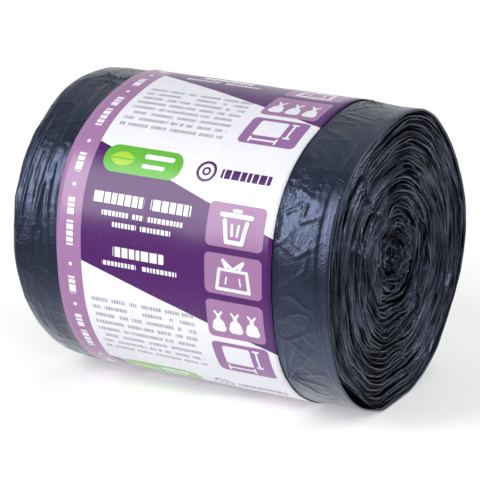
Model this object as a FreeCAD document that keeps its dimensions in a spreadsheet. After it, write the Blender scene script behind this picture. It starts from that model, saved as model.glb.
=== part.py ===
# A coreless roll of folded bin bags, lying on its side, held closed by a printed paper band.
#
# Frame: +X runs along the roll towards the end that shows its loose outer wrap, +Z is up.
# The origin is the middle of the flat spot on which the soft roll rests.
# All sizes are in millimetres and degrees.

import FreeCAD
import Part
import math
import os

# Name in the sheet, value, what it is.
SIZES = [
    ("roll_width", 125.0, "500 mm bag folded in four, over both ends of the roll"),
    ("roll_radius", 52.7, "outside of the wound film, without the band, on average"),
    ("rest_width", 20.0, "flat spot that the soft roll makes under its own weight"),
    ("three_lobe_swell", 0.8, "three-sided departure from round, on the radius"),
    ("four_lobe_swell", 0.57, "four-sided departure from round"),
    ("five_lobe_swell", 0.69, "five-sided departure from round"),
    ("turn_pitch", 4.15, "step from one bundle of turns to the next"),
    ("turn_depth", 1.6, "how far the folded edges stand above the gaps between them"),
    ("turn_ripple", 0.3, "unevenness of the folded edges along a turn"),
    ("eye_radius", 6.5, "where the first turn starts, round the crushed middle with no core"),
    ("eye_depth", 2.6, "how far the crushed middle lies below the turns"),
    ("eye_fall", 8.0, "distance over which the turns fall away to it"),
    ("dish_depth", 1.4, "how far the middle of an end lies behind its rim"),
    ("plug_radius", 22.5, "first-wound, tighter middle of the roll"),
    ("plug_step", 0.7, "how far that middle is pushed in"),
    ("wrap_wall", 0.8, "thickness of the loose outer wrap at the open end"),
    ("wrap_lip", 1.1, "how far the outer wrap stands out past the turns"),
    ("wrap_slack", 0.4, "closed part of the gap under the outer wrap"),
    ("gap_width", 3.0, "widest part of the crescent gap under the outer wrap"),
    ("gap_depth", 11.0, "how far the crescent gap runs in under the wrap"),
    ("gap_angle", 232.0, "direction of the middle of the crescent gap"),
    ("gap_spread", 27.0, "half of the angle that the crescent gap covers"),
    ("shoulder_drop", 1.0, "how much the tucked end narrows towards its rim"),
    ("shoulder_length", 10.0, "length over which it narrows"),
    ("rim_setback", 0.2, "rim of the tucked end behind the tips of its turns"),
    ("tuck_lift", 3.5, "how much more the tucked end narrows on its underside"),
    ("tuck_angle", 235.0, "direction of the middle of that narrowing"),
    ("tuck_spread", 50.0, "half of the angle that it covers"),
    ("band_width", 85.2, "width of the paper band along the roll"),
    ("band_inset", 21.4, "band's edge from the open end of the roll"),
    ("band_paper", 0.15, "thickness of the coated paper"),
    ("band_clearance", 0.1, "air between the film and the paper"),
    ("band_overlap", 14.0, "glued overlap of the band's ends"),
    ("band_glue", 0.06, "glue line between the overlapped ends"),
    ("band_climb", 5.0, "length in which the upper end climbs before it meets the lower one"),
    ("band_run_up", 1.2, "length that it is already raised for when it meets it"),
    ("seam_angle", 8.0, "direction of the band's lower end, at the back"),
]

# Directions of the swellings, from +Y towards +Z.
THREE_LOBE_ANGLE = 11.4
FOUR_LOBE_ANGLE = -23.9
FIVE_LOBE_ANGLE = -0.5

# The swellings fade to nothing at the flat spot, within this power of a cosine.
FADE_POWER = 8

# The last turns give way to the crescent gap or the narrowing, and the ones further in hardly at all.
GIVE_POWER = 6

# So does the flat spot, which the tight middle of the roll doesn't share.
FLAT_POWER = 3

RIPPLES_PER_TURN = 3.3
POINTS_PER_TURN = 24
POINTS_ON_FLAT = 4
BAND_ARC = 15.0
SHOULDER_STEPS = 2
ROUNDED_EDGE = 0.3

# A fitted curve strays this far from the outline that it follows.
SEWING_TOLERANCE = 0.001

PARTS_FOLDER = "parts"

doc = FreeCAD.newDocument("bin_bag_roll")
sheet = doc.addObject("Spreadsheet::Sheet", "sizes")
for row, (alias, value, meaning) in enumerate(SIZES, start=1):
    sheet.set(f"A{row}", alias)
    sheet.set(f"B{row}", str(value))
    sheet.setAlias(f"B{row}", alias)
    sheet.set(f"C{row}", meaning)
doc.recompute()


def size(alias):
    """One driving dimension, from the sheet."""
    return float(sheet.get(alias))


ROLL_RADIUS = size("roll_radius")
HALF_REST = math.degrees(math.asin(size("rest_width") / 2 / ROLL_RADIUS))
ARC_START = HALF_REST - 90
ARC_END = 270 - HALF_REST
FULL_TURN = 360.0
ARC_SHARE = (ARC_END - ARC_START) / FULL_TURN


def outline_radius(angle, flatness=1):
    """Distance from the axis to the film's outer face, with that share of the flat spot."""
    share = ((angle - ARC_START) % FULL_TURN) / (ARC_END - ARC_START)
    if share > 1:
        chord = math.cos(math.radians(HALF_REST)) / math.cos(math.radians(angle + 90))
        return ROLL_RADIUS * (1 + flatness * (chord - 1))
    swell = size("three_lobe_swell") * math.cos(3 * math.radians(angle - THREE_LOBE_ANGLE))
    swell += size("four_lobe_swell") * math.cos(4 * math.radians(angle - FOUR_LOBE_ANGLE))
    swell += size("five_lobe_swell") * math.cos(5 * math.radians(angle - FIVE_LOBE_ANGLE))
    return ROLL_RADIUS + swell * (1 - math.cos(math.pi * share) ** FADE_POWER)


def polar_point(x, radius, angle):
    """A point at that distance and direction from the roll's axis."""
    turn = math.radians(angle)
    return FreeCAD.Vector(x, radius * math.cos(turn), radius * math.sin(turn))


def smooth_edge(points):
    """One smooth edge through the points."""
    curve = Part.BSplineCurve()
    curve.interpolate(Points=points, Parameters=[float(i) for i in range(len(points))])
    return curve.toShape()


class Turn:
    """Once round the roll from the flat spot's far corner: its long arc, then the flat spot.

    radius_at and place_at give the radius and the place along the roll for a share of the turn.
    """

    def __init__(self, radius_at, place_at):
        def edge(start, end, steps):
            shares = [start + (end - start) * i / steps for i in range(steps + 1)]
            return [polar_point(place_at(s), radius_at(s), ARC_START + FULL_TURN * s) for s in shares]

        long_way = edge(0, ARC_SHARE, POINTS_PER_TURN)
        short_way = edge(ARC_SHARE, 1, POINTS_ON_FLAT)
        self.first = long_way[0]
        self.last = short_way[-1]
        self.arc = smooth_edge(long_way)
        self.flat = smooth_edge(short_way)


def bump(angle, name):
    """1 in the middle of the gap or the tuck, as named, and 0 outside it."""
    away = abs((angle - size(f"{name}_angle") + 180) % FULL_TURN - 180) / size(f"{name}_spread")
    return math.cos(math.pi / 2 * away) ** 2 if away < 1 else 0.0


def ring(inset, place, lift=0):
    """The roll's own outline, drawn in by inset and more at the tuck, at one place along the roll."""

    def radius_at(share):
        angle = ARC_START + FULL_TURN * share
        return outline_radius(angle) - inset - lift * bump(angle, "tuck")

    return Turn(radius_at, lambda share: place)


def strip(one, other):
    """The two faces between neighbouring turns."""
    return [Part.makeRuledSurface(one.arc, other.arc), Part.makeRuledSurface(one.flat, other.flat)]


def seam_face(corners):
    """Closes the step that a spiral leaves where it begins or ends."""
    return Part.Face(Part.makePolygon(corners + corners[:1]))


def end_faces(side, face_place, turns_edge, give):
    """The wound end of the roll on one side, +1 or -1: its spiral of turns round a crushed eye.

    face_place is where the turns' edges lie along the roll, turns_edge how far in from the outline
    the last turn lies, and give how much it yields there in a direction.
    Returns the faces, the outermost spiral turn and the corners of its step.
    """
    first = size("eye_radius")
    count = max(3, int((ROLL_RADIUS - turns_edge - first) / size("turn_pitch")))
    pitch = (ROLL_RADIUS - turns_edge - first) / count

    def turn(begins, depth, ripple):
        """One turn of the spiral, from the radius where it begins, that deep below the edges."""

        def radius_at(share):
            angle = ARC_START + FULL_TURN * share
            scale = (begins + pitch * share) / ROLL_RADIUS
            squashed = scale * outline_radius(angle, scale**FLAT_POWER)
            return squashed - give(angle) * scale**GIVE_POWER

        def place_at(share):
            reach = max(first + pitch, begins + pitch * share)
            dish = size("dish_depth") * (1 - (reach / ROLL_RADIUS) ** 2)
            pushed = size("plug_step") / (1 + math.exp(2 * (reach - size("plug_radius")) / pitch))
            crushed = size("eye_depth") * max(0, 1 - (reach - first - pitch) / size("eye_fall")) ** 2
            wave = ripple * (1 - math.sin(2 * math.pi * RIPPLES_PER_TURN * reach / pitch)) / 2
            return side * (face_place - depth - dish - pushed - crushed - wave)

        return Turn(radius_at, place_at)

    deep = size("turn_depth")
    valley = turn(first, deep, 0)
    start_of_strip = Part.LineSegment(valley.last, valley.first).toShape()
    faces = [Part.Face(Part.Wire([valley.arc, valley.flat, start_of_strip]))]
    for number in range(1, count):
        begins = first + pitch * number
        ridge = turn(begins - pitch / 2, 0, size("turn_ripple"))
        outer = turn(begins, deep, 0)
        faces += strip(valley, ridge) + strip(ridge, outer)
        if number == 1:
            faces.append(seam_face([valley.first, ridge.first, outer.first]))
        valley = outer
    return faces, valley, [valley.first, ridge.last, valley.last]


def make_roll():
    """The whole wound roll as one solid."""
    half = size("roll_width") / 2
    wall = size("wrap_wall")
    slack = size("wrap_slack")

    # Open end: the turns, the gap under the outer wrap, and the wrap's own lip.
    turns_place = half - size("wrap_lip")
    turns_edge = wall + slack

    def gap_at(angle):
        return size("gap_width") * bump(angle, "gap")

    faces, last_valley, step = end_faces(+1, turns_place, turns_edge, gap_at)

    def gap_radius(share):
        angle = ARC_START + FULL_TURN * share
        return outline_radius(angle) - wall - slack / 2 - gap_at(angle) / 2

    def gap_place(share):
        angle = ARC_START + FULL_TURN * share
        return turns_place - size("turn_depth") - slack - size("gap_depth") * bump(angle, "gap")

    gap_floor = Turn(gap_radius, gap_place)
    lip_inside = ring(wall, half)
    lip_outside = ring(0, half - ROUNDED_EDGE)
    faces += strip(last_valley, gap_floor)
    faces.append(seam_face(step + [gap_floor.first]))
    faces += strip(gap_floor, lip_inside)
    faces += strip(lip_inside, lip_outside)

    # Side of the roll, straight under the band and narrowing at the tucked end.
    shoulder_place = half - size("shoulder_length")
    shoulder = ring(0, -shoulder_place)
    faces += strip(lip_outside, shoulder)
    reach = size("shoulder_length") - size("rim_setback")
    for number in range(1, SHOULDER_STEPS + 1):
        bend = math.radians(90 * number / SHOULDER_STEPS)
        drawn_in = 1 - math.cos(bend)
        place = -shoulder_place - reach * math.sin(bend)
        narrower = ring(size("shoulder_drop") * drawn_in, place, size("tuck_lift") * drawn_in)
        faces += strip(shoulder, narrower)
        shoulder = narrower

    # Tucked end: the same spiral, seen from its other side.
    tucked_edge = size("shoulder_drop") + slack

    def tuck_at(angle):
        return size("tuck_lift") * bump(angle, "tuck")

    other_faces, last_valley, step = end_faces(-1, half, tucked_edge, tuck_at)
    floor_place = half - size("turn_depth") - slack / 2
    rim_floor = ring(size("shoulder_drop") + slack / 2, -floor_place, size("tuck_lift"))
    faces += other_faces
    faces += strip(last_valley, rim_floor)
    faces.append(seam_face(step + [rim_floor.first]))
    faces += strip(rim_floor, shoulder)

    shell = Part.makeShell(faces)
    shell.sewShape(SEWING_TOLERANCE)
    solid = Part.makeSolid(shell)
    if solid.Volume < 0:
        solid.reverse()
    return solid


def band_point(angle, offset):
    """A point of the band's section, that far out from the film."""
    return polar_point(0, outline_radius(angle) + offset, angle)


def band_arcs(start, end, offset_at):
    """Part of one side of the band's section, as arcs that follow the film's outline."""
    count = math.ceil((end - start) / BAND_ARC)
    step = (end - start) / count / 2
    marks = [start + step * i for i in range(2 * count + 1)]
    points = [band_point(angle, offset_at(angle)) for angle in marks]
    return [Part.Arc(*points[i : i + 3]).toShape() for i in range(0, 2 * count, 2)]


def band_side(start, bends, offset_at):
    """One side of the section from the lower end, over the flat spot and the bends to the upper end."""
    corner = ARC_START + FULL_TURN
    flat = Part.LineSegment(band_point(ARC_END, offset_at(ARC_END)), band_point(corner, offset_at(corner)))
    edges = band_arcs(start, ARC_END, offset_at) + [flat.toShape()]
    for one, other in zip([corner] + bends, bends):
        edges += band_arcs(one, other, offset_at)
    return edges


def make_band_section():
    """The paper strip seen end on: once round the roll, and its upper end glued over its lower end."""
    paper = size("band_paper")
    clearance = size("band_clearance")
    seam = size("seam_angle")
    meets = seam + FULL_TURN
    degrees_per_mm = 180 / math.pi / ROLL_RADIUS
    end = meets + size("band_overlap") * degrees_per_mm
    raised = meets - size("band_run_up") * degrees_per_mm
    climb = size("band_climb") * degrees_per_mm

    def lower_side(angle):
        share = min(1, max(0, 1 - (raised - angle) / climb))
        lift = share * share * (3 - 2 * share)
        return clearance + lift * (paper + size("band_glue"))

    def upper_side(angle):
        return lower_side(angle) + paper

    bends = [raised - climb, raised - climb / 2, raised, end]
    edges = band_side(seam, bends, lower_side) + band_side(seam, bends, upper_side)
    for angle in (seam, end):
        cut = Part.LineSegment(band_point(angle, lower_side(angle)), band_point(angle, upper_side(angle)))
        edges.append(cut.toShape())
    return Part.Face(Part.Wire(Part.sortEdges(edges)[0]))


axis_height = (
    "(sizes.roll_radius + sizes.band_clearance + sizes.band_paper)"
    " * sqrt(1 - (sizes.rest_width / 2 / sizes.roll_radius) ^ 2)"
)

roll = doc.addObject("Part::Feature", "bag_roll")
roll.Label = "bag_roll"
roll.Shape = make_roll()
roll.setExpression("Placement.Base.z", axis_height)

section = doc.addObject("Part::Feature", "band_section")
section.Shape = make_band_section()
band = doc.addObject("Part::Extrusion", "paper_band")
band.Label = "paper_band"
band.Base = section
band.DirMode = "Custom"
band.Dir = FreeCAD.Vector(1, 0, 0)
band.Solid = True
band.setExpression("LengthFwd", "sizes.band_width")
band.setExpression("Placement.Base.x", "sizes.roll_width / 2 - sizes.band_inset - sizes.band_width")
band.setExpression("Placement.Base.z", axis_height)
doc.recompute()

for item in doc.Objects:
    if "Invalid" in item.State or "Error" in item.State:
        raise RuntimeError(f"{item.Label} failed to build")

os.makedirs(PARTS_FOLDER, exist_ok=True)
for item in (roll, band):
    if item.Shape.isNull() or not item.Shape.isValid():
        raise RuntimeError(f"{item.Label} is not a sound solid")
    item.Shape.exportStep(os.path.join(PARTS_FOLDER, f"{item.Label}.step"))
    box = item.Shape.BoundBox
    print(item.Label, "volume", round(item.Shape.Volume), "z from", round(box.ZMin, 3), "to", round(box.ZMax, 2))
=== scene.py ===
# A coreless roll of folded bin bags, lying on its side in a printed paper band.
# All sizes are in millimetres and degrees until a mesh is finished, and angles run from +Y towards +Z.

import math

import bmesh
import bpy
from mathutils import Matrix, Vector, noise


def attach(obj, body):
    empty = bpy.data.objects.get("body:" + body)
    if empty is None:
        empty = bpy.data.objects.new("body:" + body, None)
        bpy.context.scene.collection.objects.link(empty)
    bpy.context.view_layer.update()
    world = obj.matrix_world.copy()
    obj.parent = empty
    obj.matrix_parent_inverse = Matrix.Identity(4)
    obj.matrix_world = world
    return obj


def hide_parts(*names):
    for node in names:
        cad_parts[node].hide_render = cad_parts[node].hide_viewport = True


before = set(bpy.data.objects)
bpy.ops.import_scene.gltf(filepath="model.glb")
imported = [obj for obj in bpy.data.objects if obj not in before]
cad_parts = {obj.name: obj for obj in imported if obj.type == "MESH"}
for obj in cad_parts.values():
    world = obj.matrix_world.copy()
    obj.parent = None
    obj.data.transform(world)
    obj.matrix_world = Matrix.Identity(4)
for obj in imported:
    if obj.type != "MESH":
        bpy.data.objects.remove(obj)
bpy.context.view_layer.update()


# The camera: it looks at the roll from a little above through a long lens, with the roll's open
# end turned towards the right. Its sides are written as directions in the roll's own frame.

camera_data = bpy.data.cameras.new("camera")
camera_data.lens = 202.8
camera_data.sensor_width = 36
camera = bpy.data.objects.new("camera", camera_data)
to_right = Vector((0.8649, 0.5020, 0))
to_back = Vector((0.4792, -0.8257, 0.2977)).normalized()
to_right = (to_right - to_right.dot(to_back) * to_back).normalized()
turned = Matrix((to_right, to_back.cross(to_right), to_back)).transposed()
camera.matrix_world = Matrix.Translation((0.4588, -0.7920, 0.3354)) @ turned.to_4x4()
bpy.context.scene.collection.objects.link(camera)
bpy.context.scene.camera = camera


# The loose outer wrap: the last turns of thin folded film. They go round the whole roll, tuck in
# over a narrow shoulder at one end, and stand clear of the wound turns at the other, where they
# end in a lip. A small flat spot lies on the table.

ROLL_RADIUS = 52.7
HALF_LENGTH = 62.5
REST_WIDTH = 20
REST_LIFT = 0.25
HALF_REST = math.degrees(math.asin(REST_WIDTH / 2 / ROLL_RADIUS))
AXIS_HEIGHT = (ROLL_RADIUS + REST_LIFT) * math.cos(math.radians(HALF_REST))
BAND_START = -44.1
BAND_END = 41.1
BARE_MARGIN = 2.5
WRAP_WALL = 0.8
SHOULDER_START = -52.5
TUCKED_RIM = -62.3
SHOULDER_DROP = 1.0
TUCK_LIFT = 3.5
TUCK_ANGLE = 235
TUCK_SPREAD = 50


def outline(angle):
    """The film's distance from the axis: a soft, uneven round with a flat spot below."""
    start = HALF_REST - 90
    share = ((angle - start) % 360) / (360 - 2 * HALF_REST)
    if share > 1:
        return ROLL_RADIUS * math.cos(math.radians(HALF_REST)) / math.cos(math.radians(angle + 90))
    swell = 0.8 * math.cos(3 * math.radians(angle - 11.4))
    swell += 0.57 * math.cos(4 * math.radians(angle + 23.9))
    swell += 0.69 * math.cos(5 * math.radians(angle + 0.5))
    return ROLL_RADIUS + swell * (1 - math.cos(math.pi * share) ** 8)


def rolled(x, radius, angle):
    """The point at that place along the roll and that distance and direction from its axis."""
    turn = math.radians(angle)
    return Vector((x, radius * math.cos(turn), AXIS_HEIGHT + radius * math.sin(turn)))


def ease(value, low, high):
    """0 below low, 1 above high and a smooth rise between them."""
    share = min(1, max(0, (value - low) / (high - low)))
    return share * share * (3 - 2 * share)


def bend_at(angle, middle, spread):
    """1 in one direction of the roll, falling smoothly to 0 that many degrees away."""
    away = abs((angle - middle + 180) % 360 - 180) / spread
    return math.cos(math.pi / 2 * away) ** 2 if away < 1 else 0.0


def folds(point, along, around, sharpness):
    """Long sharp folds where a stretched noise crosses zero, from 0 to 1."""
    spot = Vector((point.x / along, point.y / around, point.z / around))
    return max(0, 1 - sharpness * abs(noise.noise(spot))) ** 1.5


def facets(point, size, seed):
    """A crumpled sheet of small flat facets, from 0 to about 1."""
    spot = point / size + Vector((seed, 2 * seed, 3 * seed))
    shift = noise.noise_vector(spot * 0.7) * 0.6
    near = noise.voronoi(spot + shift)[0]
    return min(1, near[1] - near[0])


def pleats(x, angle, place, direction, count, reach):
    """Sharp pleats that spread from a point where the band pulls the film together."""
    across = math.radians((angle - direction + 180) % 360 - 180) * ROLL_RADIUS
    far = math.hypot(x - place, across)
    if far > 2.5 * reach:
        return 0.0
    fan = math.atan2(across, x - place)
    wave = math.sin(count * fan + 2.6 * noise.noise(Vector((fan * 2, far / 12, place))))
    height = (1 - abs(wave)) ** 2
    return height * ease(far, 0, 3.5) * math.exp(-((far / reach) ** 2))


# Long creases seen on the bare film: from (place, direction) to (place, direction), width, height.
CREASES = [
    ((43.3, 216), (54.0, 203), 1.5, 1.0),
    ((43.3, 215), (50.5, 199), 1.3, 0.8),
    ((43.3, 216), (57.0, 213), 1.2, 0.7),
    ((43.3, 217), (55.0, 221), 1.3, 0.9),
    ((43.3, 218), (50.0, 227), 1.1, 0.7),
    ((43.3, 216), (44.5, 196), 1.2, 0.5),
    ((46.0, 199), (58.0, 192), 1.4, 0.35),
    ((44.0, 150), (51.0, 146), 1.2, 0.5),
    ((51.0, 146), (50.0, 153), 1.0, 0.45),
    ((50.0, 153), (58.0, 149), 1.2, 0.5),
    ((43.0, 161), (50.0, 165), 1.6, 0.4),
    ((50.0, 165), (58.5, 159), 1.4, 0.4),
    ((46.5, 141), (56.0, 146), 2.2, 0.6),
    ((45.0, 137), (52.0, 128), 1.8, 0.35),
    ((43.0, 110), (57.0, 117), 2.0, 0.3),
    ((43.0, 98), (56.0, 102), 2.2, 0.3),
    ((-45.5, 94), (-53.5, 92), 1.2, 0.6),
    ((-53.5, 92), (-58.5, 101), 1.2, 0.6),
    ((-53.5, 92), (-58.5, 84), 1.2, 0.6),
    ((-50.5, 139), (-52.5, 168), 1.3, 0.35),
    ((-54.0, 143), (-56.5, 176), 1.3, 0.35),
    ((-57.5, 150), (-59.0, 184), 1.3, 0.30),
    ((-48.0, 146), (-48.8, 162), 1.1, 0.25),
]


def crease(x, angle, start, end, width, height):
    """One sharp crease with straight sides that runs out towards its far end."""
    across = math.radians((angle - start[1] + 180) % 360 - 180) * ROLL_RADIUS
    run = Vector((end[0] - start[0], math.radians(end[1] - start[1]) * ROLL_RADIUS))
    spot = Vector((x - start[0], across))
    share = min(1, max(0, spot.dot(run) / run.length_squared))
    away = (spot - run * share).length / (width * (0.5 + 0.9 * share))
    return height * max(0, 1 - away) * (1 - 0.75 * share)


def film_relief(x, angle):
    """How far the wrap's creases stand out from its smooth outline."""
    point = rolled(x, ROLL_RADIUS, angle)
    broad = 0.45 * noise.noise(point / 16) + 0.10 * noise.noise(point / 6)
    if x > 0:
        broad *= 1 - 0.7 * bend_at(angle, 151, 30)
        lively = 0.22 + 0.40 * bend_at(angle, 151, 26) + 0.6 * bend_at(angle, 212, 24)
        lively += 0.3 * bend_at(angle, 60, 60) + 0.5 * bend_at(angle, 315, 60)
        inner = 1 - 0.8 * ease(x, 55, 58.5)
        relief = broad + 0.19 * lively * inner * facets(point, 7.5, 3)
        relief += 0.06 * lively * inner * facets(point, 2.8, 8)
        relief += 0.18 * folds(point, 9, 7, 6) * (1 - ease(x, 53, 57))
        relief += 0.13 * lively * folds(point + Vector((40, 0, 0)), 5, 4, 7) * (1 - ease(x, 54, 58))
        relief += 0.5 * pleats(x, angle, 42.0, 216, 9, 6)
        relief += 0.8 * pleats(x, angle, 41.5, 78, 7, 8)
        relief += 0.7 * pleats(x, angle, 41.5, 318, 8, 9)
        relief += 0.10 * folds(point, 2.4, 30, 3) * ease(x, 55, 58)
        return relief - 0.25 * ease(x, 57.2, 58.0) * (0.3 + 0.7 * bend_at(angle, 150, 40))
    relief = broad + 0.07 * facets(point, 6.0, 3) + 0.04 * facets(point, 2.4, 8)
    streaks = 0.5 * folds(point, 3.2, 26, 2.6) + 0.16 * folds(point + Vector((9, 5, 0)), 1.7, 20, 2.6)
    relief += streaks * ease(-x, 44, 50) * (0.3 + 0.7 * bend_at(angle, 152, 45))
    relief += 0.14 * folds(point, 9, 8, 6)
    relief += 0.9 * pleats(x, angle, -47, 96, 8, 7)
    relief += 0.7 * pleats(x, angle, -46, 250, 8, 8)
    lumps = 1.2 * bend_at(angle, 178, 30) + 1.9 * bend_at(angle, 107, 24)
    return relief + lumps * ease(-x, 50, 61)


def tucked_in(x, angle):
    """How much nearer to the axis the wrap lies at the tucked end than elsewhere."""
    if x > SHOULDER_START:
        return 0.0
    share = min(1, (SHOULDER_START - x) / (SHOULDER_START - TUCKED_RIM))
    drawn_in = 1 - math.sqrt(max(0, 1 - share * share))
    return drawn_in * (SHOULDER_DROP + TUCK_LIFT * bend_at(angle, TUCK_ANGLE, TUCK_SPREAD))


def wrap_point(x, angle):
    """The outer face of the wrap: smooth under the band, creased where it is bare."""
    bare = ease(x, BAND_END - 0.5, BAND_END + BARE_MARGIN)
    bare += ease(-x, -BAND_START - 0.5, -BAND_START + BARE_MARGIN)
    relief = 0
    if bare:
        drawn = sum(crease(x, angle, *line) for line in CREASES if line[0][0] * x > 0)
        relief = (film_relief(x, angle) + drawn - 0.25) * bare
    point = rolled(x, outline(angle) + relief - tucked_in(x, angle), angle)
    point.z = max(0, point.z)
    return point


def stations(low, high, step):
    """Places along the roll, about that far apart."""
    count = round((high - low) / step)
    return [low + (high - low) * number / count for number in range(count)]


FINE_STEP = 0.42
HIDDEN_STEP = 9
LIP_START = HALF_LENGTH - 0.35
outer_places = stations(TUCKED_RIM, BAND_START, FINE_STEP) + stations(BAND_START, BAND_END, HIDDEN_STEP)
outer_places += stations(BAND_END, LIP_START, FINE_STEP) + [LIP_START]
LIP = [(HALF_LENGTH - 0.1, 0.1), (HALF_LENGTH, 0.35), (HALF_LENGTH - 0.1, WRAP_WALL - 0.1)]
INSIDE = [(HALF_LENGTH - 1, WRAP_WALL), (HALF_LENGTH - 4, WRAP_WALL), (48, WRAP_WALL)]
INSIDE += [(-57, 1.6), (TUCKED_RIM + 1, 0.9), (TUCKED_RIM - 0.05, 0.45)]
WRAP_ROUND = 640
profile_count = len(outer_places) + len(LIP) + len(INSIDE)


def lip_wave(angle):
    """The lip isn't cut straight: it wanders a little along the roll."""
    direction = Vector((math.cos(math.radians(angle)), math.sin(math.radians(angle)), 0))
    return 0.35 * noise.noise(direction * 2.4) + 0.12 * noise.noise(direction * 9) - 0.3


def place_wrap(row, angle):
    """Bends one row of the flat grid into the wrap's outer face, lip or inner wall."""
    row %= profile_count
    if row < len(outer_places):
        x = outer_places[row]
        point = wrap_point(x, angle)
        point.x += lip_wave(angle) * ease(x, 50, HALF_LENGTH)
        return point
    x, inset = (LIP + INSIDE)[row - len(outer_places)]
    nearest = LIP_START if x > 0 else TUCKED_RIM
    beside = wrap_point(nearest if abs(x) > 58 else x, angle)
    radius = math.hypot(beside.y, beside.z - AXIS_HEIGHT)
    point = rolled(x, radius - inset, angle)
    point.x += lip_wave(angle) * ease(x, 50, HALF_LENGTH)
    return point


wrap = bmesh.new()
bmesh.ops.create_grid(wrap, x_segments=profile_count, y_segments=WRAP_ROUND, size=1)
for vert in wrap.verts:
    row = round((vert.co.x + 1) / 2 * profile_count)
    vert.co = place_wrap(row, 180 * (vert.co.y + 1)) / 1000
bmesh.ops.remove_doubles(wrap, verts=wrap.verts, dist=1e-6)
bmesh.ops.recalc_face_normals(wrap, faces=wrap.faces)


def finished_piece(name, mesh_maker, material):
    """Makes the piece's object, smooth all over, and lets it ride on the roll."""
    data = bpy.data.meshes.new(name)
    mesh_maker.to_mesh(data)
    mesh_maker.free()
    data.shade_smooth()
    data.materials.append(material)
    piece = bpy.data.objects.new(name, data)
    bpy.context.scene.collection.objects.link(piece)
    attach(piece, "root")
    return piece


class Reading:
    """One output of a shader node: sums and products of readings add their Math nodes."""

    def __init__(self, finish, socket):
        self.finish = finish
        self.socket = socket

    def math(self, operation, *others):
        values = dict(enumerate([self, *others]))
        return self.finish.node("ShaderNodeMath", {"operation": operation}, values)

    def __add__(self, other):
        return self.math("ADD", other)

    def __sub__(self, other):
        return self.math("SUBTRACT", other)

    def __mul__(self, other):
        return self.math("MULTIPLY", other)

    def __truediv__(self, other):
        return self.math("DIVIDE", other)

    def __rsub__(self, other):
        return self.finish.node("ShaderNodeMath", {"operation": "SUBTRACT"}, {0: other, 1: self})

    __radd__ = __add__
    __rmul__ = __mul__

    def either(self, other):
        return self.math("MAXIMUM", other)

    def both(self, other):
        return self.math("MINIMUM", other)

    def size(self):
        return self.math("ABSOLUTE")

    def limited(self):
        return self.both(1).either(0)

    def part(self, name):
        """Another output of the same node."""
        return Reading(self.finish, self.socket.node.outputs[name])


class Finish:
    """A material, or the world, while its nodes are being laid out."""

    def __init__(self, owner):
        self.owner = owner
        owner.use_nodes = True
        self.tree = owner.node_tree
        self.tree.nodes.clear()

    def node(self, kind, settings=None, values=None):
        """Adds a node: its settings first, then the values or links of its sockets."""
        made = self.tree.nodes.new(kind)
        for name, value in (settings or {}).items():
            setattr(made, name, value)
        for name, value in (values or {}).items():
            if isinstance(value, Reading):
                self.tree.links.new(value.socket, made.inputs[name])
            elif isinstance(value, tuple) and made.inputs[name].type == "RGBA":
                made.inputs[name].default_value = (*value, 1)
            else:
                made.inputs[name].default_value = value
        return Reading(self, made.outputs[0]) if made.outputs else None

    def mixed(self, one, other, share):
        """One colour turning into the other."""
        mix = self.node("ShaderNodeMix", {"data_type": "RGBA"}, {0: share, 6: one, 7: other})
        return Reading(self, mix.socket.node.outputs[2])

    def surface(self, **values):
        """A Principled surface, its sockets named with underscores."""
        sockets = {name.replace("_", " "): value for name, value in values.items()}
        return self.node("ShaderNodeBsdfPrincipled", {}, sockets)

    def bump(self, height, strength, distance):
        """A surface normal bent by a height."""
        values = {"Height": height, "Strength": strength, "Distance": distance}
        return self.node("ShaderNodeBump", {}, values)

    def close(self, shader):
        """Ends the material in its surface and returns it."""
        self.node("ShaderNodeOutputMaterial", {}, {"Surface": shader})
        return self.owner

    def split(self, vector):
        """The X, Y and Z of a vector or of a UV map, as parts of one reading."""
        return self.node("ShaderNodeSeparateXYZ", {}, {"Vector": vector})

    def bundle(self, *values):
        """A vector put together from its parts."""
        return self.node("ShaderNodeCombineXYZ", {}, dict(enumerate(values)))

    def noise(self, vector, scale, detail, distortion=0.0):
        """Soft noise between 0 and 1."""
        values = {"Vector": vector, "Scale": scale, "Detail": detail, "Distortion": distortion}
        return self.node("ShaderNodeTexNoise", {}, values)


FILM_TINT = (0.54, 0.64, 1.0)


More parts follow.
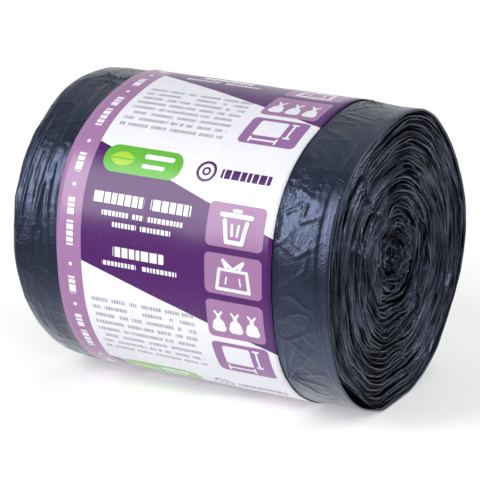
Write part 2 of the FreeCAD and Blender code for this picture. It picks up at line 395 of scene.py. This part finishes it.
def film_finish(name, lines):
    """Dark, bluish thin film: soft gloss, fine wrinkles and, on the ends, the edges of its layers, with
    painted highlight on lighter strands and painted shade in the grooves.
    """
    film = Finish(bpy.data.materials.new(name))
    place = film.node("ShaderNodeTexCoord").part("Object")
    patches = film.noise(place, 90.0, 4.0)
    grain = film.noise(place, 1100.0, 3.0)
    wrinkles = film.noise(place, 260.0, 4.0, 1.6)
    if not lines:
        broad = film.noise(place, 110.0, 2.0, 2.2)
        creases = 1 - ((wrinkles - 0.5).size() * 11).limited()
        long_creases = 1 - ((broad - 0.5).size() * 18).limited()
        height = creases * 0.12 + long_creases * 0.22 + wrinkles * 0.18 + grain * 0.04
        normal = film.bump(height, 0.7, 0.00022)
        shade = ((patches - 0.35) * 2.5).limited()
        colour = film.mixed((0.0030, 0.0056, 0.0130), (0.0068, 0.0105, 0.0215), shade)
        roughness = patches * 0.12 + grain * 0.05 + 0.21
        look = film.surface(
            Base_Color=colour, Roughness=roughness, Normal=normal, IOR=1.7, Specular_Tint=FILM_TINT
        )
        return film.close(look)

    # The UV map "turns" counts the turns outwards, and its other side goes once round the roll.
    turns = film.split(film.node("ShaderNodeUVMap", {"uv_map": "turns"}))
    ridge = 0.5 - ((turns - turns.part("Y")).math("FRACT") - 0.5).size()
    flat = film.split(place)
    layers = film.noise(film.bundle(turns * 6.0, flat.part("Y") * 70, flat.part("Z") * 70), 1.0, 2.5)
    edges = (turns * (math.tau * 3) + layers * 5).math("SINE")
    glints = (grain - 0.62).either(0) * 3.0
    normal = film.bump(layers * 2.8 + edges * 0.35 + wrinkles * 0.20 + glints, 0.7, 0.0004)
    strands = film.noise(film.bundle(turns * 2.3, flat.part("Y") * 44, flat.part("Z") * 44), 1.0, 2.0)
    painted_highlight_strands = ((strands - 0.46) * 8).limited()
    clear_of_painted_shade = ((strands - 0.35) * 11).limited() * (ridge * 4.5).limited()
    shade = painted_highlight_strands * (patches * 2.2 - 0.62).limited()
    # Painted highlight: the strands' base colour goes from near-black to a pale blue-grey, standing in
    # for light caught on the layers' edges.
    colour = film.mixed((0.0010, 0.0016, 0.0030), (0.1000, 0.1180, 0.1600), shade)
    roughness = 0.34 - painted_highlight_strands * 0.16 + grain * 0.05
    layer = film.surface(
        Base_Color=colour, Roughness=roughness, Normal=normal, IOR=1.65, Specular_Tint=FILM_TINT
    )
    # Painted shade: a near-black matte surface stands in for the shadow in the grooves between turns
    # and between the strands.
    gap = film.surface(Base_Color=(0.0008, 0.0012, 0.0022), Roughness=0.7, IOR=1.1)
    return film.close(film.node("ShaderNodeMixShader", {}, {0: clear_of_painted_shade, 1: gap, 2: layer}))


wrap_film = film_finish("wrap_film", False)
film_wrap = finished_piece("film_wrap", wrap, wrap_film)
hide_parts("bag_roll")


# The wound turns at both ends: the strip's folded edges, hundreds of thin layers of film that show
# as ragged ridges of one spiral. They are wound without a core, so the middle is crushed, and they
# lean on each other where the folds meet.

TURNS = 36
ROWS_PER_TURN = 6
LEANING_IN = [0.0, 0.15, 0.70, 0.88, 1.0, 0.84]
LEANING_OUT = [0.0, 0.90, 1.0, 0.86, 0.62, 0.20]
CORE_SHIFT = 2.6
POLE_RADIUS = 2e-5
MERGE_GAP = 4e-6


def meeting_line(angle, reach, start, end, near, far):
    """1 on a ragged line across the turns, from one direction and radius to another."""
    if not near < reach < far:
        return 0.0
    share = (reach - near) / (far - near)
    middle = start + (end - start) * share + 5 * noise.noise(Vector((reach * 0.45, start, 2)))
    away = abs((angle - middle + 180) % 360 - 180) * math.radians(reach) / 2.2
    return math.exp(-away * away) * ease(share, 0, 0.1) * (1 - ease(share, 0.9, 1))


def kink(angle, middle, spread, height):
    """A corner in the turns: they rise to it in straight stretches from both sides."""
    away = abs((angle - middle + 180) % 360 - 180) / spread
    return height * max(0, 1 - math.hypot(away, 0.15))


def end_point(row, angle, seed, rim, give):
    """Where one row of the spiral lies: how far in from the face, and how far from the axis."""
    turn = row // ROWS_PER_TURN
    turned = math.radians(angle)
    strip = Vector((math.cos(turned), math.sin(turned), (turn + angle / 360) * 0.7 + seed))
    lean = ease(noise.noise(strip * 2.3 + Vector((4, 0, 2))) - 0.5 * strip.y, -0.3, 0.3)
    rise = LEANING_OUT[row % ROWS_PER_TURN] * lean + LEANING_IN[row % ROWS_PER_TURN] * (1 - lean)
    share = min(1, max(0, (row / ROWS_PER_TURN + angle / 360) / TURNS))
    swell = outline(angle) - ROLL_RADIUS
    radius = (ROLL_RADIUS - rim) * share + swell * share**1.5
    reach = share * ROLL_RADIUS
    spot = Vector((radius * strip.x, radius * strip.y, seed))
    inner = ease(share, 0.02, 0.3) * (1 - ease(share, 0.93, 1))
    wander = 0.8 * noise.noise(spot / 10) + 0.12 * noise.noise(spot / 3.4)
    wander += 1.0 * noise.noise(Vector((strip.x, strip.y, strip.z * 1.3)) + Vector((1, 8, 5)))
    wander += 0.14 * noise.noise(strip * 4.0)
    bent = angle + 9 * noise.noise(Vector((reach * 0.13, seed, 5)))
    corners = kink(bent, 91, 22, 1.9) + kink(bent, 69, 18, 0.9) + kink(bent, 246, 26, 2.4)
    corners += kink(bent, 299, 18, 0.9) + kink(bent, 15, 20, 0.5) + kink(bent, 335, 16, 0.6)
    corners += kink(bent, 208, 18, 0.4) - kink(bent, 279, 11, 0.7)
    radius += inner * (wander + corners * ease(share, 0.2, 0.5) * (1 - 0.4 * share) - 0.5)
    radius -= give(angle) * share**6
    ragged = 2.2 * noise.noise(Vector((strip.x, strip.y, strip.z * 1.9)))
    ragged += 0.4 * noise.noise(strip * 4.5)
    ragged += 0.15 * noise.noise(strip * 14) + 0.15 * noise.noise(strip * 34)
    wound = (turn + angle / 360) * 1.37 + seed
    opened = max(0, noise.noise(Vector((strip.x, strip.y, wound)) + Vector((9, 9, 9))) + 0.15)
    groove = 1.5 + 5.6 * opened + 0.9 * max(0, noise.noise(strip * 6 + Vector((3, 3, 3))))
    groove *= 1 - 0.35 * bend_at(angle, 215, 60)
    seams = meeting_line(angle, reach, 130, 124, 27, 51) + meeting_line(angle, reach, 277, 283, 20, 47)
    seams += 0.6 * meeting_line(angle, reach, 318, 310, 17, 27)
    depth = groove * (1 - rise) - ragged * rise
    depth += seams * (1.9 * noise.noise(spot / 0.9) + 1.0 * noise.noise(spot / 2.1) - 0.3)
    depth += 1.2 * (1 - share * share) + 3.2 * ring_gap(reach, angle)
    crushed = 1 - ease(reach, 7, 16)
    depth += 5.6 * (1 - ease(reach, 4.5, 9.0)) + 0.6 * (1 - ease(reach, 13, 18))
    depth += crushed * (2.2 * noise.noise(spot / 2.1) + 1.6 * noise.noise(spot / 1.0))
    depth *= ease(share, 0, 0.03) * 0.5 + 0.5
    loose = 1 - share
    radius += CORE_SHIFT * loose * math.cos(turned) * ease(share, 0, 0.1)
    return depth, max(0, radius)


def ring_gap(reach, angle):
    """The dark gap round the tight inner bundle, wide open below it and on the left."""
    wide = 0.35 + 0.65 * bend_at(angle, 240, 80)
    away = (reach - 17.0 - 0.8 * math.sin(math.radians(angle * 2 + 40))) / 1.5
    return wide * math.exp(-away * away)


def wound_end(name, side, face_x, rim, give, seed, back, steps_round):
    """One end of the roll: a spiral relief with a skirt round it and a plain hidden back."""
    rows = (TURNS + 1) * ROWS_PER_TURN
    end = bmesh.new()
    bmesh.ops.create_grid(end, x_segments=rows, y_segments=steps_round, size=1)
    turns_uv = end.loops.layers.uv.new("turns")
    for face in end.faces:
        for loop in face.loops:
            share_round = (loop.vert.co.y + 1) / 2
            row = (loop.vert.co.x + 1) / 2 * rows
            loop[turns_uv].uv = (row / ROWS_PER_TURN + share_round, share_round)
    for vert in end.verts:
        row = round((vert.co.x + 1) / 2 * rows) - ROWS_PER_TURN
        angle = 180 * (vert.co.y + 1)
        if angle > 359.99:
            depth, radius = end_point(row + ROWS_PER_TURN, 0, seed, rim, give)
        else:
            depth, radius = end_point(row, angle, seed, rim, give)
        vert.co = rolled(side * (face_x - depth), radius, angle) / 1000
    bmesh.ops.remove_doubles(end, verts=end.verts, dist=MERGE_GAP)
    axis = Vector((0, 0, AXIS_HEIGHT / 1000))
    middle = [vert for vert in end.verts if (vert.co.yz - axis.yz).length < POLE_RADIUS]
    middle_x = sum(vert.co.x for vert in middle) / len(middle)
    bmesh.ops.pointmerge(end, verts=middle, merge_co=axis + Vector((middle_x, 0, 0)))
    bmesh.ops.dissolve_degenerate(end, edges=end.edges, dist=MERGE_GAP)
    edge = [e for e in end.edges if e.is_boundary]
    skirt = bmesh.ops.extrude_edge_only(end, edges=edge)["geom"]
    for vert in skirt:
        if isinstance(vert, bmesh.types.BMVert):
            vert.co.x = side * back / 1000
    bmesh.ops.holes_fill(end, edges=[e for e in end.edges if e.is_boundary], sides=0)
    bmesh.ops.recalc_face_normals(end, faces=end.faces)
    piece = finished_piece(name, end, turns_film)
    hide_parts("bag_roll")


def under_the_wrap(angle):
    """How far the last turns yield to the crescent gap."""
    return 3.0 * bend_at(angle, 232, 27)


def inside_the_tuck(angle):
    """How far the last turns yield where the wrap narrows on its underside."""
    return TUCK_LIFT * bend_at(angle, TUCK_ANGLE, TUCK_SPREAD)


turns_film = film_finish("turns_film", True)
wound_end("wound_end_open", 1, 61.6, WRAP_WALL + 0.3, under_the_wrap, 1.7, 47, 420)
wound_end("wound_end_tucked", -1, 62.1, SHOULDER_DROP + 0.5, inside_the_tuck, 6.3, 50, 360)


# The printed paper band: a strip of thin coated paper, wrapped once round the roll and glued to
# itself at the back. Its print is a lilac edge, a slanting purple field, a column of tiles with
# plain signs, and rows of small marks.

BAND_WIDTH = BAND_END - BAND_START
SEAM = 8
OVERLAP = 14
PAPER = 0.15
DEGREES_PER_MM = 180 / math.pi / ROLL_RADIUS
BAND_TURN = 360 + OVERLAP * DEGREES_PER_MM
MM_PER_DEGREE = 0.924
PRINT_REPEAT = 88.3
PRINT_TOP = 62
PRINT_START = 60
STEPS_ACROSS = 48
STEPS_ROUND = 420


def band_point(along, angle):
    """The underside of the paper, which lies on the film and climbs over its own lower end."""
    meets = SEAM + 360 - 1.2 * DEGREES_PER_MM
    lift = 0.1 + 0.22 * ease(angle, meets - 5 * DEGREES_PER_MM, meets)
    spot = rolled(along, ROLL_RADIUS, angle)
    loose = 0.16 * (noise.noise(spot / 14) + 0.6)
    edge = min(along - BAND_START, BAND_END - along)
    loose += 0.1 * (1 - ease(edge, 0, 5)) * (noise.noise(spot / 6) + 0.7)
    resting = bend_at(angle, 270, 24)
    return rolled(along, outline(angle) + lift + loose * (1 - resting), angle)


band = bmesh.new()
bmesh.ops.create_grid(band, x_segments=STEPS_ACROSS, y_segments=STEPS_ROUND, size=1)
print_uv = band.loops.layers.uv.new("print")
for face in band.faces:
    for loop in face.loops:
        across = (loop.vert.co.x + 1) / 2 * BAND_WIDTH
        round_roll = (SEAM - PRINT_START + BAND_TURN * (loop.vert.co.y + 1) / 2) * MM_PER_DEGREE
        loop[print_uv].uv = (across, round_roll)
for vert in band.verts:
    along = BAND_START + (vert.co.x + 1) / 2 * BAND_WIDTH
    vert.co = band_point(along, SEAM + BAND_TURN * (vert.co.y + 1) / 2) / 1000
bmesh.ops.recalc_face_normals(band, faces=band.faces)
middle = Vector((0, 0, AXIS_HEIGHT / 1000))
if sum(face.normal.dot(face.calc_center_median() - middle) for face in band.faces) < 0:
    bmesh.ops.reverse_faces(band, faces=band.faces)


def band_finish():
    """Coated paper with its print, laid out in millimetres on the flat strip."""
    paper = Finish(bpy.data.materials.new("band_print"))
    flat = paper.split(paper.node("ShaderNodeUVMap", {"uv_map": "print"}))
    across = flat.part("X")
    along = flat.part("Y")
    down = (along - PRINT_TOP).math("FLOORED_MODULO", PRINT_REPEAT)

    def soft(distance, blur=0.12):
        """1 inside a shape and 0 outside it, from the distance to its edge."""
        return (0.5 - distance / blur).limited()

    def rounded(left, right, top, bottom, corner):
        """Distance to the edge of a rectangle with rounded corners."""
        wide = ((across - (left + right) / 2).size() - ((right - left) / 2 - corner)).either(0)
        high = ((down - (top + bottom) / 2).size() - ((bottom - top) / 2 - corner)).either(0)
        return (wide * wide + high * high).math("SQRT") - corner

    def disc(centre, level, radius):
        """Distance to the edge of a disc."""
        wide = across - centre
        high = down - level
        return (wide * wide + high * high).math("SQRT") - radius

    def stroke(start, end, half):
        """Distance to the edge of a round-ended line."""
        run = Vector(end) - Vector(start)
        wide = across - start[0]
        high = down - start[1]
        share = ((wide * run.x + high * run.y) / run.length_squared).limited()
        wide = wide - share * run.x
        high = high - share * run.y
        return (wide * wide + high * high).math("SQRT") - half

    def joined(shapes):
        """Distance to several shapes taken together."""
        nearest = shapes[0]
        for shape in shapes[1:]:
            nearest = nearest.both(shape)
        return nearest

    white = (0.79, 0.79, 0.86)
    deep = (0.074, 0.012, 0.124)
    lilac = (0.335, 0.172, 0.342)
    dull = (0.275, 0.130, 0.315)
    green = (0.115, 0.430, 0.040)
    leaf_green = (0.36, 0.60, 0.05)
    grey = (0.26, 0.25, 0.31)
    faint = (0.70, 0.70, 0.78)

    # Ground: white paper with faint dots, and the slanting purple field.
    dot_wide = (across.math("FLOORED_MODULO", 2.0) - 1).size()
    dot_high = (along.math("FLOORED_MODULO", 2.0) - 1).size()
    dots = soft((dot_wide * dot_wide + dot_high * dot_high).math("SQRT") - 0.28)
    colour = paper.mixed(white, faint, dots * 0.5)
    edge_width = 10
    field_top = 6.75
    field_bottom = 49.4
    slant = down - (across - edge_width) * 0.316
    field = soft((field_top - slant).either(slant - field_bottom))
    repeated = slant + PRINT_REPEAT
    field = field.either(soft((field_top - repeated).either(repeated - field_bottom)))
    colour = paper.mixed(colour, deep, field)

    # Column of tiles, the last one darker.
    tiles = [rounded(59.5, 81.6, top, top + 14.6, 1.9) for top in (21.3, 38.2, 55.2, 72.0)]
    colour = paper.mixed(colour, lilac, soft(joined(tiles[:3])))
    colour = paper.mixed(colour, dull, soft(tiles[3]))

    # Signs on the tiles: a bin, an open bag with ties, three tied bags, and a sheet with its measures.
    bin_shape = joined(
        [
            stroke((66.2, 27.0), (67.5, 33.9), 0.75),
            stroke((74.8, 27.0), (73.5, 33.9), 0.75),
            stroke((67.5, 33.9), (73.5, 33.9), 0.75),
            stroke((64.8, 25.1), (76.2, 25.1), 0.75),
            stroke((69.2, 23.5), (71.8, 23.5), 0.6),
            stroke((69.2, 28.2), (69.5, 31.6), 0.45),
            stroke((71.8, 28.2), (71.5, 31.6), 0.45),
        ]
    )
    open_bag = joined(
        [
            stroke((65.2, 43.6), (64.2, 50.7), 0.6),
            stroke((75.8, 43.6), (76.8, 50.7), 0.6),
            stroke((64.2, 50.7), (76.8, 50.7), 0.6),
            stroke((65.2, 43.6), (75.8, 43.6), 0.5),
            stroke((68.2, 43.2), (66.6, 40.3), 0.55),
            stroke((66.6, 40.3), (70.5, 43.2), 0.55),
            stroke((72.8, 43.2), (74.4, 40.3), 0.55),
            stroke((74.4, 40.3), (70.5, 43.2), 0.55),
            stroke((68.0, 46.2), (67.6, 48.6), 0.3),
            stroke((73.0, 46.2), (73.4, 48.6), 0.3),
        ]
    )
    sacks = []
    for centre in (64.0, 70.5, 77.0):
        sacks.append(disc(centre, 64.6, 2.3))
        sacks.append(stroke((centre - 1.2, 65.9), (centre + 1.2, 65.9), 1.5))
        sacks.append(stroke((centre, 61.2), (centre, 63.0), 0.75))
        sacks.append(stroke((centre, 61.4), (centre - 1.3, 59.7), 0.42))
        sacks.append(stroke((centre, 61.4), (centre + 1.3, 59.7), 0.42))
    measures = joined(
        [
            rounded(63.8, 73.4, 74.2, 81.6, 0.4).size() - 0.55,
            stroke((63.8, 84.3), (73.4, 84.3), 0.42),
            stroke((76.4, 74.2), (76.4, 81.6), 0.42),
            stroke((63.6, 83.3), (63.6, 85.3), 0.42),
            stroke((73.6, 83.3), (73.6, 85.3), 0.42),
            stroke((75.4, 74.0), (77.4, 74.0), 0.42),
            stroke((75.4, 81.8), (77.4, 81.8), 0.42),
        ]
    )
    signs = joined([bin_shape, open_bag, *sacks, measures])
    colour = paper.mixed(colour, white, soft(signs))

    def notches(reading, pitch, opening):
        """Distance into bars cut by narrow gaps at uneven places, so that they read as small print."""
        cells = {"voronoi_dimensions": "1D", "feature": "DISTANCE_TO_EDGE"}
        cut = paper.node("ShaderNodeTexVoronoi", cells, {"W": reading / pitch, "Scale": 1.0})
        return opening / 2 - cut * pitch

    # Headings and the lines under them, as cut bars in the place of words.
    headings = joined(
        [
            rounded(13.6, 34.4, 24.2, 27.9, 0.5),
            rounded(37.0, 52.8, 24.2, 27.9, 0.5),
            rounded(23.0, 43.4, 42.3, 45.9, 0.5),
        ]
    ).either(notches(across, 2.9, 0.55))
    underlines = joined(
        [
            rounded(left, right, top, top + 1.7, 0.3)
            for left, right, top in (
                (18.0, 28.8, 30.2),
                (30.4, 34.8, 30.2),
                (36.2, 50.2, 30.2),
                (22.5, 32.2, 33.8),
                (33.8, 45.8, 33.8),
                (18.5, 32.2, 47.9),
                (34.6, 48.4, 47.9),
            )
        ]
    ).either(notches(across, 1.45, 0.42))
    colour = paper.mixed(colour, white, soft(joined([headings, underlines])))

    # Plain ring and bar on the white ground beside the green patch.
    ring_and_bar = joined(
        [
            disc(54.6, 11.9, 3.3).size() - 0.5,
            disc(54.6, 11.9, 1.2).size() - 0.4,
            rounded(60.4, 79.6, 10.2, 13.6, 0.5).either(notches(across, 2.7, 0.5)),
        ]
    )
    colour = paper.mixed(colour, deep, soft(ring_and_bar))

    # Eight rows of small print, as short grey bars cut into marks.
    line = (down - 62.4) / 3.2
    row = line.math("FLOOR")
    inside_row = (line - row - 0.4).size() * 3.2 - 0.72
    words = paper.node(
        "ShaderNodeTexNoise",
        {"noise_dimensions": "2D"},
        {"Vector": paper.bundle(across * 0.42, row * 7.3), "Scale": 1.0, "Detail": 0.0},
    )
    gap = 0.36 - words
    rows = inside_row.either(gap * 9).either(notches(across + row * 3.7, 0.95, 0.30))
    block = rounded(12.8, 54.0, 62.2, 87.6, 0.2)
    colour = paper.mixed(colour, grey, soft(rows.either(block), 0.25) * 0.9)

    # Green patch with a plain leaf.
    colour = paper.mixed(colour, green, soft(rounded(14.0, 45.0, 7.0, 17.2, 4.6)))
    leaf = disc(21.4, 8.7, 6.0).either(disc(21.4, 15.5, 6.0))
    vein = stroke((16.6, 12.1), (26.2, 12.1), 0.22)
    colour = paper.mixed(colour, leaf_green, soft(leaf))
    colour = paper.mixed(colour, green, soft(vein))
    bars = joined([rounded(29.6, 41.4, 9.2, 11.0, 0.8), rounded(29.6, 38.6, 13.0, 14.4, 0.6)])
    colour = paper.mixed(colour, white, soft(bars))

    # Lilac edge with white dots and dashes.
    colour = paper.mixed(colour, lilac, soft(across - edge_width))
    marks = (along - 22.1).math("FLOORED_MODULO", PRINT_REPEAT / 2)
    wide = across - 5.4

    def mark(start, end, half, corner):
        """Distance to the edge of a rounded mark on the lilac edge."""
        reach = ((marks - (start + end) / 2).size() - ((end - start) / 2 - corner)).either(0)
        side = (wide.size() - (half - corner)).either(0)
        return (side * side + reach * reach).math("SQRT") - corner

    dots_between = joined([mark(2.5, 3.9, 0.7, 0.7), mark(18.4, 19.8, 0.7, 0.7)])
    bars_between = joined(
        [mark(start, end, 1.35, 0.3) for start, end in ((7.6, 14.8), (23.6, 29.4), (31.4, 40.4))]
    )
    strip_marks = dots_between.both(bars_between.either(notches(marks, 2.3, 0.5)))
    colour = paper.mixed(colour, white, soft(strip_marks))

    # The paper under the print: fine fibres and a slight cockle.
    place = paper.node("ShaderNodeTexCoord").part("Object")
    fibres = paper.noise(place, 700.0, 3.0)
    cockle = paper.noise(place, 70.0, 2.0)
    shade = (fibres * 0.10 + cockle * 0.10 + 0.88).limited()
    colour = paper.mixed((0, 0, 0), colour, shade)
    normal = paper.bump(fibres * 0.10 + cockle * 0.8, 0.5, 0.0002)
    look = paper.surface(Base_Color=colour, Roughness=fibres * 0.08 + 0.22, Normal=normal, IOR=1.38)
    return paper.close(look)


band_paper = finished_piece("printed_band", band, band_finish())
wall = band_paper.modifiers.new("paper", "SOLIDIFY")
wall.thickness = PAPER / 1000
wall.offset = 1
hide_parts("paper_band")


# The table and the lamps: a plain pale sweep under the roll and soft lamps round it, as in a small
# photo studio. The table keeps the roll's shadow and turns white farther away. Glossy film mirrors
# it bright behind the roll and close by, and dimmer in front, where the studio is dark.

TABLE_DROP = 0.00005

table = bmesh.new()
bmesh.ops.create_grid(table, x_segments=1, y_segments=1, size=6)
table_data = bpy.data.meshes.new("table")
table.to_mesh(table_data)
table.free()


def ramp(finish, value, low, high, interpolation="LINEAR"):
    """0 at low, 1 at high."""
    kind = {"interpolation_type": interpolation}
    return finish.node("ShaderNodeMapRange", kind, {0: value, 1: low, 2: high})


def glowing(finish, strength):
    """White light of that strength."""
    return finish.node("ShaderNodeEmission", {}, {"Color": (1, 1, 1), "Strength": strength})


def blended(finish, share, one, other):
    """One shader turning into the other."""
    return finish.node("ShaderNodeMixShader", {}, {0: share, 1: one, 2: other})


sweep = Finish(bpy.data.materials.new("table_white"))
rays = sweep.node("ShaderNodeLightPath")
looked_at = rays.part("Is Camera Ray").either(rays.part("Is Transmission Ray"))
mirrored = rays.part("Is Glossy Ray")
ground = sweep.split(sweep.node("ShaderNodeTexCoord").part("Object"))
to_side = ground.part("X") - 0.02
to_rear = ground.part("Y")
away = (to_side * to_side + to_rear * to_rear).math("SQRT")
far = ramp(sweep, away, 0.10, 0.30, "SMOOTHSTEP")
near = ramp(sweep, away, 0.18, 0.07, "SMOOTHSTEP")
rear = ramp(sweep, to_rear, -0.05, 0.15)
front = ramp(sweep, to_rear, -0.03, -0.12)
cloth = sweep.node("ShaderNodeBsdfDiffuse", {}, {"Color": (0.86, 0.86, 0.86)})
lift = glowing(sweep, (looked_at * 0.34).either(mirrored * near * 0.85))
lit_cloth = sweep.node("ShaderNodeAddShader", {}, {0: cloth, 1: lift})
white_share = far * looked_at.either(mirrored * rear)
table_look = blended(sweep, white_share, lit_cloth, glowing(sweep, 1.0))
dim_share = mirrored * (1 - near) * front * 0.6
table_look = blended(sweep, dim_share, table_look, glowing(sweep, 0.0))
table_data.materials.append(sweep.close(table_look))
table_top = bpy.data.objects.new("table", table_data)
table_top.location.z = -TABLE_DROP
bpy.context.scene.collection.objects.link(table_top)

world = bpy.data.worlds.new("studio")
bpy.context.scene.world = world
studio = Finish(world)
rays = studio.node("ShaderNodeLightPath")
looked_at = rays.part("Is Camera Ray").either(rays.part("Is Transmission Ray"))
direction = studio.split(studio.node("ShaderNodeTexCoord"))
rearward = studio.node(
    "ShaderNodeMapRange", {}, {0: direction.part("Y"), 1: -0.35, 2: 0.30, 3: 0.20, 4: 1.0}
)
upward = studio.node(
    "ShaderNodeMapRange", {}, {0: direction.part("Z"), 1: 0.32, 2: 0.60, 3: 1.0, 4: 0.58}
)
strength = looked_at.either(rays.part("Is Glossy Ray") * (rearward * upward)).either(0.28)
backdrop = studio.node("ShaderNodeBackground", {}, {"Color": (1, 1, 1), "Strength": strength})
studio.node("ShaderNodeOutputWorld", {}, {"Surface": backdrop})
bpy.context.scene.view_settings.view_transform = "Standard"

ROLL_MIDDLE = 0.05


def lamp(name, direction, distance, wide, high, power):
    """A soft rectangular lamp that looks at the middle of the roll."""
    data = bpy.data.lights.new(name, "AREA")
    data.shape = "RECTANGLE"
    data.size = wide
    data.size_y = high
    data.energy = power
    light = bpy.data.objects.new(name, data)
    away = Vector(direction).normalized()
    light.matrix_world = away.to_track_quat("Z", "Y").to_matrix().to_4x4()
    light.matrix_world.translation = away * distance + Vector((0, 0, ROLL_MIDDLE))
    light.visible_camera = False
    bpy.context.scene.collection.objects.link(light)


lamp("left_front_softbox", (-0.45, -0.66, 0.39), 0.9, 0.36, 0.84, 7.4)
lamp("overhead_softbox", (0.1, 0.25, 1.0), 1.1, 0.8, 0.6, 1.6)
lamp("front_right_softbox", (0.62, -0.72, 0.42), 0.9, 0.16, 0.30, 1.7)
lamp("right_strip", (0.8, 0.35, 0.40), 0.9, 0.16, 0.4, 2.2)
